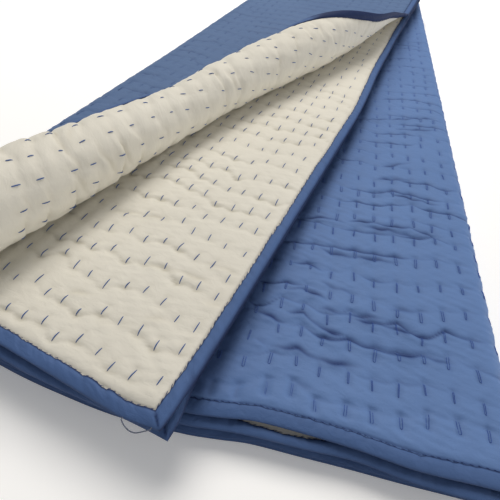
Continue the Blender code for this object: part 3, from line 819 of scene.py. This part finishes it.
upper_columns = [("top", s) for s in EDGE_SHARES]
upper_columns += [("top", between(0.041, 1.0, s)) for s in shares_of(64)]
upper_columns += [("large fold", n / 20) for n in range(21)]
upper_columns += [("lowest", SEAM_SHARE * n / 20) for n in range(1, 21)]
blue_upper = cloth_sheet("blue_cotton_upper", "blue", upper_columns,
                         along_places([(1.135, 0.0030)], [(0.05, 0.005), (1.13, 0.03)]))
lower_columns = [("lowest", between(SEAM_SHARE, 1.0, n / 8)) for n in range(8)]
lower_columns += [("right fold", n / 12) for n in range(13)]
lower_columns += [("third", 0.48 * s) for s in shares_of(88)]
lower_columns += [("third", between(0.48, 1.0, n / 20)) for n in range(20)]
lower_columns += [("small fold", n / 6) for n in range(7)]
lower_columns += [("second", s) for s in shares_of(12)]
lower_columns += [("second", 1 - s) for s in reversed(EDGE_SHARES)]
blue_lower = cloth_sheet("blue_cotton_lower", "blue", lower_columns,
                         along_places([(0.30, 0.0013), (0.60, 0.0023), (1.135, 0.0044)],
                                      [(0.05, 0.004), (1.13, 0.03)]))
for sheet, cotton in ((blue_upper, blue_painted_shade), (blue_lower, blue_cotton)):
    sheet.data.materials.append(cotton)
    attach(sheet, "root")
    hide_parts("blue_face")

# ---- Cream cotton face -------------------------------------------------------------
# A plain-woven natural cotton, softer than the blue. It lines the fold, and shows
# on the opened corner and on the roll, where the top leaf turns over.
cream_cotton = cotton_material("cream_plain_cotton", "dcd8cc", "e5e2d7", "a39b84", 0.85, 0.08, 0.45,
                               0.55, 0.3)
cream_upper = [("top", s) for s in EDGE_SHARES]
cream_upper += [("top", between(0.041, 1.0, s)) for s in shares_of(82)]
cream_upper += [("large fold", n / 10) for n in range(11)]
cream_upper += [("lowest", SEAM_SHARE * n / 8) for n in range(1, 9)]
cream_lower = [("lowest", between(SEAM_SHARE, 1.0, n / 2)) for n in range(2)]
cream_lower += [("right fold", n / 8) for n in range(9)]
cream_lower += [("third", s) for s in shares_of(60)]
cream_lower += [("small fold", n / 6) for n in range(7)]
cream_lower += [("second", s) for s in shares_of(12)]
cream_lower += [("second", 1 - s) for s in reversed(EDGE_SHARES)]
for name, columns, along in (
        ("cream_cotton_upper", cream_upper,
         along_places([(0.70, 0.0026), (1.135, 0.0036)], [(0.30, 0.0017), (1.13, 0.0042)])),
        ("cream_cotton_lower", cream_lower,
         along_places([(0.03, 0.005), (1.13, 0.04)], [(0.06, 0.003), (1.13, 0.04)]))):
    sheet = cloth_sheet(name, "cream", columns, along)
    sheet.data.materials.append(cream_cotton)
    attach(sheet, "root")
    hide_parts("cream_face")

# ---- Binding ---------------------------------------------------------------------------
# A straight-cut strip of the blue cotton, folded over the raw edges all round and
# sewn down by hand on both faces. It is soft and full at the edge, draws in a
# little at each stitch, and its corners are folded to a mitre.
BINDING_SECTION = [      # in from the edge and out from the cloth's middle, in mm
    (11.9, 1.10), (11.75, 1.85), (11.3, 2.55), (10.3, 3.15), (8.8, 3.45), (6.8, 3.35),
    (4.8, 2.90), (3.0, 2.25), (1.5, 1.45), (0.45, 0.65)]
BINDING_REACH = 0.0119      # how far in its sewn edges lie
THIRD_HEM = 0.544           # the third leaf's width at its hem
# It was cut too narrow for a short way on the third leaf's lower layer, where the
# cream lining shows under the hem: place in from the right fold, reach and share.
NARROW_AT, NARROW_REACH, NARROW_BY = 0.163, 0.042, 0.42
PULL_SPACING, PULL_REACH = 0.0078, 0.0022


def binding_ring():
    """Stations round the bound edge: (side of the cloth, leg, share)."""
    hem = []
    for leg, cells in (("top", 150), ("large fold", 34), ("lowest", 150), ("right fold", 20),
                       ("third", 240), ("small fold", 14), ("second", 120)):
        hem += [(leg, n / cells) for n in range(cells)]
    second_edge = [n / 640 for n in range(640)]
    top_edge = [n / 400 * 0.74 for n in range(400)] + [0.74 + n / 280 * 0.26 for n in range(280)]
    ring = [("outer hem", *station) for station in hem]
    ring += [("second side", "second", share) for share in second_edge]
    ring += [("inner hem", leg, share) for leg, share in [("second", 1.0)] + hem[:0:-1]]
    ring += [("top side", "top", share) for share in [1.0] + top_edge[:0:-1]]
    return ring


ring = binding_ring()
puff = rng.normal(0, 1, (4, len(ring)))


def uneven(values, reach):
    """Random numbers round the ring, smoothed over this many stations."""
    window = np.hanning(2 * reach + 1)
    tripled = np.concatenate([values[-3 * reach:], values, values[:3 * reach]])
    soft = np.convolve(tripled, window / window.sum(), "same")[3 * reach:-3 * reach]
    return soft / soft.std()


fullness = 0.00024 * uneven(puff[0], 4) + 0.00024 * uneven(puff[1], 15)
seam_wander = 0.00022 * uneven(puff[2], 3) + 0.00036 * uneven(puff[3], 18)
narrow = np.ones(len(ring))
for n, (side_name, leg, share) in enumerate(ring):
    if (side_name, leg) == ("inner hem", "third"):
        away = abs(share * THIRD_HEM - NARROW_AT) / NARROW_REACH
        narrow[n] = 1 - NARROW_BY * max(1 - away, 0) ** 0.6
mitres = [n for n, station in enumerate(ring) if ring[n - 1][0] != station[0]]
mitre = np.isin(np.arange(len(ring)), mitres) * 1.0
beside_leaf = np.array([station[0].endswith("side") for station in ring])


def ring_points(inset, rise):
    """The ring's points at these distances in from the edge and from the middle."""
    points = np.zeros((len(ring), 3))
    for side_name in ("outer hem", "second side", "inner hem", "top side"):
        for leg in LEGS:
            chosen = [n for n, s in enumerate(ring) if s[0] == side_name and s[1] == leg]
            if not chosen:
                continue
            d, share = inset[chosen], np.array([ring[n][2] for n in chosen])
            if side_name.endswith("hem"):
                along = d if side_name == "outer hem" else WHOLE - d
                side, back = row_state(along)
                run = run_at(leg, share, side, back, d)
            else:
                along = between(d, WHOLE - d, share)
                side, back = row_state(along)
                run = d if leg == "top" else second_width(back, side) - d
            points[chosen] = lay(leg, run, along, rise[chosen])
    return points


section = [(x / 1000, z / 1000) for x, z in BINDING_SECTION]
section += [(0.0, 0.0)] + [(x, -z) for x, z in reversed(section)]
binding_mesh = grid_mesh("binding", len(ring), len(section) - 1, False)
# Where each station is along the edge, and how far the nearest tight stitch pulls it.
edge = ring_points(np.zeros(len(ring)), np.zeros(len(ring)))
edge = np.concatenate([edge, edge[:1]])
edge_length = np.concatenate([[0], np.cumsum(np.linalg.norm(np.diff(edge, axis=0), axis=1))])
pulls = np.arange(0.004, edge_length[-1], PULL_SPACING)
pulls = pulls + rng.uniform(-PULL_REACH, PULL_REACH, len(pulls))
force = rng.uniform(0.1, 1.0, len(pulls))
places, shade_amount = [], []
for x, z in section:
    share = min(x / BINDING_REACH, 1.0)
    body = math.sin(math.pi * share) if x > 0 else 0.0
    slanting = edge_length[:-1] + 0.45 * x
    nearest = np.abs(slanting[:, None] - pulls[None]).argmin(axis=1)
    pull = force[nearest] * np.exp(-((slanting - pulls[nearest]) / PULL_REACH) ** 2)
    inset = x * narrow + (seam_wander - 0.0005 * pull) * share ** 2
    # Painted shade: darker along the sewn edge, where a stitch pulls the strip in, and in the folds
    # of the mitred corners.
    dark = np.clip((share - 0.88) / 0.08, 0, 1) + 0.35 * pull * share ** 3 + 0.8 * mitre * body
    rise = z + np.sign(z) * (fullness * body - 0.0011 * pull * share - 0.0006 * mitre * body)
    points = ring_points(inset, rise)
    # A deeper tone on the half that faces down stands for the shade between the
    # leaves. It is strongest along the side of the upper ones.
    under = smooth((edge[:-1, 2] + 0.0020 - points[:, 2]) / 0.0032)
    beside = smooth((edge[:-1, 2] + 0.0026 - points[:, 2]) / 0.0024)
    dark = np.maximum(dark, np.where(beside_leaf, 0.97 * beside, 0.85 * under))
    shade_amount.append(np.append(dark, dark[0]))
    places.append(np.concatenate([points, points[:1]]))
places = np.array(places)
# The strip's own length and width, for its weave.
run_length = np.concatenate([[0], np.cumsum(np.linalg.norm(
    np.diff(places[len(section) // 2], axis=0), axis=1))])
width = np.linspace(0, 0.03, len(section))
flat = np.stack(np.meshgrid(run_length, width), axis=-1)
fit_grid(binding_mesh, places, flat, np.clip(shade_amount, 0, 1))
shape = bmesh.new()
shape.from_mesh(binding_mesh)
bmesh.ops.remove_doubles(shape, verts=shape.verts, dist=0.00001)
bmesh.ops.reverse_faces(shape, faces=shape.faces)
shape.to_mesh(binding_mesh)
shape.free()
binding_mesh.shade_smooth()
binding = linked("binding", binding_mesh)
# The binding is a darker copy of the blue cotton: painted shade for its rounded edge.
binding_mesh.materials.append(cotton_material(
    "blue_cotton_binding", "486392", "526d9d", "142047", 0.66, 0.04, 0.75, 0.9, 0.2))
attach(binding, "root")
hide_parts("edge_binding")

# ---- Sewing thread, loose end ---------------------------------------------------
# A strand of the quilter's thread that was left long at the corner. It comes out
# under the top leaf's front hem, runs out in a small loop and goes back in.
THREAD = [                  # in from the corner, out from the hem, up from its middle
    (0.0292, 0.0010, 0.0005), (0.0272, 0.0024, 0.0003), (0.0242, 0.0041, 0.0000),
    (0.0207, 0.0054, -0.0004), (0.0172, 0.0059, -0.0006), (0.0144, 0.0053, -0.0005),
    (0.0118, 0.0039, -0.0001), (0.0092, 0.0024, 0.0003), (0.0068, 0.0010, 0.0005)]
# Its ends run back into the seam, behind the first row and the last.
THREAD_IN = [(-0.0574, -0.5932, 0.0618), (-0.0577, -0.5946, 0.0617)]
THREAD_OUT = [(-0.0350, -0.5960, 0.0615), (-0.0347, -0.5946, 0.0616)]
THREAD_DIAMETER = 0.0009

inward, outward, upward = np.array(THREAD).T[..., None]
marks = leaf_middle("top", inward[:, 0], np.full(len(THREAD), WHOLE))
marks = marks - np.append(AWAY, 0) * outward + np.array((0, 0, 1)) * upward
# Each half-way point is on a smooth curve through the four marks round it. The
# route is kept to a tenth of a millimetre.
around = np.concatenate([marks[:1], marks, marks[-1:]])
loop = np.zeros((2 * len(marks) - 1, 3))
loop[0::2] = marks
loop[1::2] = (9 * (marks[:-1] + marks[1:]) - around[:-3] - around[3:]) / 16
THREAD_ROUTE = [*THREAD_IN, *np.round(loop, 4).tolist(), *THREAD_OUT]


# Mercerised cotton thread, two plies twisted: small slanting bands, slightly glossy.
def thread_material(name, colour, shade):
    material, tree, output = new_material(name)
    place = node(tree, "TexCoord", {}).outputs["Object"]
    plies = node(tree, "TexWave", {"Vector": place, "Scale": 420.0, "Distortion": 2.0},
                 bands_direction="DIAGONAL").outputs["Fac"]
    tone = node(tree, "Mix", {"Factor": plies, "A": linear(shade), "B": linear(colour)},
                data_type="RGBA").outputs["Result"]
    bump = node(tree, "Bump", {"Height": plies, "Strength": 0.3, "Distance": 0.0002})
    shader = node(tree, "BsdfPrincipled", {
        "Base Color": tone, "Roughness": 0.6, "Sheen Weight": 0.05, "Specular IOR Level": 0.25,
        "Normal": bump.outputs["Normal"]})
    tree.links.new(shader.outputs["BSDF"], output.inputs["Surface"])
    return material


strand = bpy.data.curves.new("loose_strand", "CURVE")
strand.dimensions = "3D"
strand.bevel_depth = THREAD_DIAMETER / 2
strand.bevel_resolution = 2
strand.use_fill_caps = True
line = strand.splines.new("POLY")
line.points.add(len(THREAD_ROUTE) - 1)
for point, place in zip(line.points, THREAD_ROUTE):
    point.co = (*place, 1)
loose_strand = linked("loose_strand", strand)
strand.materials.append(thread_material("cotton_thread_grey", "6b7284", "434a5c"))
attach(loose_strand, "root")
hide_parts("loose_thread")

# ---- Kantha stitches on the cream ----------------------------------------------------
# One thick strand of contrast blue cotton, in a running stitch of 9 to 14 mm.
# Each stitch dives into the cloth at both ends and lies slightly proud between.
DASH_RADIUS = 0.00048
HEM_MARGIN, SIDE_MARGIN = 0.0145, 0.016     # no stitch comes nearer to a bound edge


def strand_form(rings, sides, tapered):
    """One strand: its share along, then aside and up in radii. A tapered one closes
    at both ends."""
    shape = bmesh.new()
    bmesh.ops.create_grid(shape, x_segments=rings, y_segments=sides, size=0.5)
    for v in shape.verts:
        share, turn = v.co.x + 0.5, 2 * math.pi * (v.co.y + 0.5)
        thick = 1.0
        if tapered:
            thick = math.sin(math.pi * share) ** 0.35 if 0 < share < 1 else 0.0
        v.co = (share, thick * math.cos(turn), thick * math.sin(turn))
    bmesh.ops.remove_doubles(shape, verts=shape.verts, dist=0.0001)
    bmesh.ops.recalc_face_normals(shape, faces=shape.faces)
    return shape


def joined_stitches(name, form, stitches, place_form):
    """Copies one stitch's mesh to every place and joins them. stitches holds the
    (leg, row, count, run, along, length) of each; place_form gives the points."""
    mesh = bpy.data.meshes.new(name)
    form.verts.ensure_lookup_table()
    start = np.array([v.co for v in form.verts])
    faces = [[v.index for v in face.verts] for face in form.faces]
    points = np.zeros((len(stitches), len(start), 3))
    for leg in LEGS:
        chosen = [n for n, s in enumerate(stitches) if s[0] == leg]
        if chosen:
            facts = np.array([stitches[n][1:] for n in chosen])
            points[chosen] = place_form(leg, facts, start)
    count = len(start)
    sizes = np.array([len(f) for f in faces])
    index = np.concatenate([np.array(sum(faces, [])) + n * count for n in range(len(stitches))])
    mesh.vertices.add(points.size // 3)
    mesh.vertices.foreach_set("co", points.reshape(-1).astype(np.float32))
    mesh.loops.add(len(index))
    mesh.loops.foreach_set("vertex_index", index.astype(np.int32))
    total = np.tile(sizes, len(stitches))
    mesh.polygons.add(len(total))
    mesh.polygons.foreach_set("loop_start", (np.cumsum(total) - total).astype(np.int32))
    mesh.update(calc_edges=True)
    mesh.validate()
    mesh.shade_smooth()
    made = linked(name, mesh)
    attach(made, "root")
    return made


def row_place(leg, q, along):
    """Where a row of quilting lies on a leg, or nothing if it isn't on it there."""
    side, back = row_state(np.array([along]))
    width = float(leg_width(leg, side, back)[0])
    back = float(back[0])
    if leg == "top":
        run = q + ROW_SLANT * min(back, ROW_SLANT_REACH)
        return run if SIDE_MARGIN < run < width else None
    if leg == "large fold":
        start = float(upper_width(back)) - ROW_SLANT * ROW_SLANT_REACH
        run = (q - start) / LARGE_ARC * math.pi
        return run if 0 < run < 2.7 else None
    if leg == "lowest":
        run = width - q
        return run if 0.02 < run < width else None
    if leg == "right fold":
        return None if not -RIGHT_ARC / 2 < q < 0 else -q / RIGHT_ARC * math.pi
    return q if 0 < q < width else None


def find_stitches(colour, wanted):
    """(leg, row, count, run, along, length) of every stitch on the wanted legs."""
    found = []
    for leg, first, last in wanted:
        rows = "upper" if leg in ("top", "large fold") else "lower"
        which = 0 if rows == "upper" else 1
        for row in range(ROWS - 1):
            for count in range(COUNTS - 1):
                along = float(stitch_middle(rows, colour, row, count))
                length = float(stitch_length[which, row, count])
                low, high = along - length / 2, along + length / 2
                if low < max(first, HEM_MARGIN) or high > min(last, WHOLE - HEM_MARGIN):
                    continue
                q = FIRST_ROW[rows] + ROW_STEP[rows] * row + float(sideways[which, row, count])
                run = row_place(leg, q, along)
                if run is not None:
                    found.append((leg, row, count, run, along, length))
                    if leg == "right fold":
                        found.append((leg, row, count, math.pi - run, along, length))
    return found


def lay_dash(leg, facts, form):
    """Lays single strands along their rows, on the cream side."""
    run, along, length = (facts[:, n][:, None] for n in (2, 3, 4))
    if leg == "top":
        # Round the roll they are drawn deeper in and show less of their length.
        side, back = row_state(along)
        length = length * (1 - 0.30 * round_roll(side, back, run))
    skew = 0.13 * np.sin(37 * facts[:, 0] + 91 * facts[:, 1])[:, None]
    t = along + (form[:, 0] - 0.5) * length
    turn = math.pi / LARGE_ARC if "fold" in leg else 1.0
    middle = run + (form[:, 0] - 0.5) * length * skew * turn
    r = middle + form[:, 1] * DASH_RADIUS * turn
    height, _ = face_height(leg, "cream", middle, t)
    arch = 0.00095 * np.sin(math.pi * form[:, 0]) ** 0.5 - 0.00045
    return lay(leg, r, t, -(height + arch + form[:, 2] * DASH_RADIUS))


contrast = thread_material("blue_embroidery_cotton", "4a6ca6", "324f88")
cream_dashes = find_stitches("cream", [("top", 0.0, WHOLE)])
form = strand_form(6, 6, True)
dashes = joined_stitches("stitches_on_cream", form, cream_dashes, lay_dash)
form.free()
dashes.data.materials.append(contrast)

# ---- Hand seam of the binding ---------------------------------------------------------
# Dark blue thread in small slanting slip stitches, which catch the binding's folded
# edge down on both faces. They were made by eye and are uneven.
SEAM_EVERY = 0.0054
SEAM_RADIUS = 0.00021

form = strand_form(4, 4, True)
seam_start = np.array([v.co for v in form.verts])
seam_faces = [[v.index for v in face.verts] for face in form.faces]
form.free()
spots = np.arange(0.002, edge_length[-1] - 0.004, SEAM_EVERY)
spots = spots + rng.uniform(-0.0009, 0.0009, len(spots))
reach = rng.uniform(0.0014, 0.0025, len(spots))
corner_spots = edge_length[mitres]
corner_spots[corner_spots == 0] = 0.0016


def sew(spots, reach, ends, face):
    """Stitches at places along the edge, from one distance in and out to another."""
    lines = []
    middle = ((ends[0][0] + ends[1][0]) / 2, (ends[0][1] + ends[1][1]) / 2 + 0.004)
    for inset, rise in (*ends, middle):
        points = ring_points(inset * narrow + seam_wander * (inset / BINDING_REACH) ** 2,
                             np.full(len(ring), face * rise))
        lines.append(np.concatenate([points, points[:1]]))
    across = seam_start[:, 0]
    where = spots[:, None] + (across[None] - 0.5) * 2 * reach[:, None]
    first, last, out = (
        np.stack([np.interp(where, edge_length, points[:, n]) for n in range(3)], axis=-1)
        for points in lines)
    centre = first * (1 - across)[None, :, None] + last * across[None, :, None]
    up = out - (first + last) / 2
    up /= np.linalg.norm(up, axis=-1, keepdims=True)
    aside = np.cross(up, last[:, -1:] - first[:, :1])
    aside /= np.linalg.norm(aside, axis=-1, keepdims=True)
    arch = 0.00045 * np.sin(math.pi * across) - 0.00010
    return (centre + up * (arch + SEAM_RADIUS * seam_start[:, 2])[None, :, None]
            + aside * (SEAM_RADIUS * seam_start[:, 1])[None, :, None])


seam_points = []
for face in (1, -1):
    seam_points.append(sew(spots, reach, ((0.0113, 0.0025), (0.0123, 0.0018)), face))
    # The mitred corners are caught down with a few stitches across their fold.
    for inset, rise in ((0.0030, 0.0021), (0.0054, 0.0030), (0.0078, 0.0033)):
        seam_points.append(sew(corner_spots, np.full(len(corner_spots), 0.0015),
                               ((inset, rise), (inset + 0.0012, rise + 0.0001)), face))
seam_points = np.concatenate(seam_points)
seam_points[..., 2] = np.maximum(seam_points[..., 2], 0.0)
seam_shape = bmesh.new()
for stitch in seam_points:
    made = [seam_shape.verts.new(place) for place in stitch]
    for corners in seam_faces:
        seam_shape.faces.new([made[n] for n in corners])
bmesh.ops.recalc_face_normals(seam_shape, faces=seam_shape.faces)
seam_mesh = bpy.data.meshes.new("binding_hand_seam")
seam_shape.to_mesh(seam_mesh)
seam_shape.free()
seam_mesh.shade_smooth()
hand_seam = linked("binding_hand_seam", seam_mesh)
seam_mesh.materials.append(thread_material("dark_blue_sewing_cotton", "2f4787", "233566"))
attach(hand_seam, "root")

# ---- Kantha stitches on the blue -----------------------------------------------------
# The same running stitch from its other face: the strand lies double in a narrow
# loop that is closed at the near end, in a blue a little stronger than the cloth.
LOOP_RADIUS = 0.00028
LOOP_BEND = 0.28            # the bend's share of the strand, its straight legs the rest


def lay_loop(leg, facts, form):
    """Lays loops along their rows, on the blue side: down one leg, round the near
    end and back up the other."""
    row, count, run, along, length = (facts[:, n][:, None] for n in range(5))
    half = 0.00040 + 0.0007 * (0.5 + 0.5 * np.sin(13 * row + 47 * count))
    skew = 0.08 * np.sin(29 * row + 71 * count)
    u = form[:, 0] * 2 - 1
    bend = np.clip(np.abs(u) / LOOP_BEND, 0, 1)
    angle = (1 - bend) * math.pi / 2
    side = np.sign(u) * half * np.cos(angle)
    straight = np.maximum(np.abs(u) - LOOP_BEND, 0) / (1 - LOOP_BEND)
    t = along - length / 2 + half * (1 - np.sin(angle)) + straight * (length - half)
    turn = math.pi / ARCS[leg] if leg in ARCS else 1.0
    middle = run + (side + (t - along) * skew) * turn
    out = np.where(np.abs(u) < LOOP_BEND, 0, 1)
    aside_r = form[:, 1] * LOOP_RADIUS * np.where(out, np.sign(u), np.cos(angle) * np.sign(u))
    aside_t = -form[:, 1] * LOOP_RADIUS * np.where(out, 0, np.sin(angle))
    height, _ = face_height(leg, "blue", middle, t)
    ends = np.clip((1 - np.abs(u)) / 0.18, 0, 1) ** 0.5
    # On the upper leaf, and from half way back, they are drawn in until they hardly show.
    sunk = 0.00031 if leg == "top" else 0.00034 * smooth((along - 0.22) / 0.34)
    lift = 0.00085 * ends - 0.0005 - sunk
    return lay(leg, middle + aside_r * turn, t + aside_t, height + lift + form[:, 2] * LOOP_RADIUS)


blue_strand = thread_material("blue_embroidery_cotton_double", "4567b0", "2d4a92")
# The loops on the upper leaves get a greyer copy of the strand, painted shade to go with the upper
# sheet.
strand_painted_shade = thread_material("blue_embroidery_cotton_painted_shade", "506a98", "455f8e")
form = strand_form(12, 4, False)
for name, colour, legs in (
        ("stitches_on_blue_lower", blue_strand, ("third", "right fold")),
        ("stitches_on_blue_upper", strand_painted_shade, ("top", "large fold"))):
    wanted = find_stitches("blue", [(leg, 0.0, FOLDED_LENGTH) for leg in legs])
    loops = joined_stitches(name, form, wanted, lay_loop)
    loops.data.materials.append(colour)
form.free()
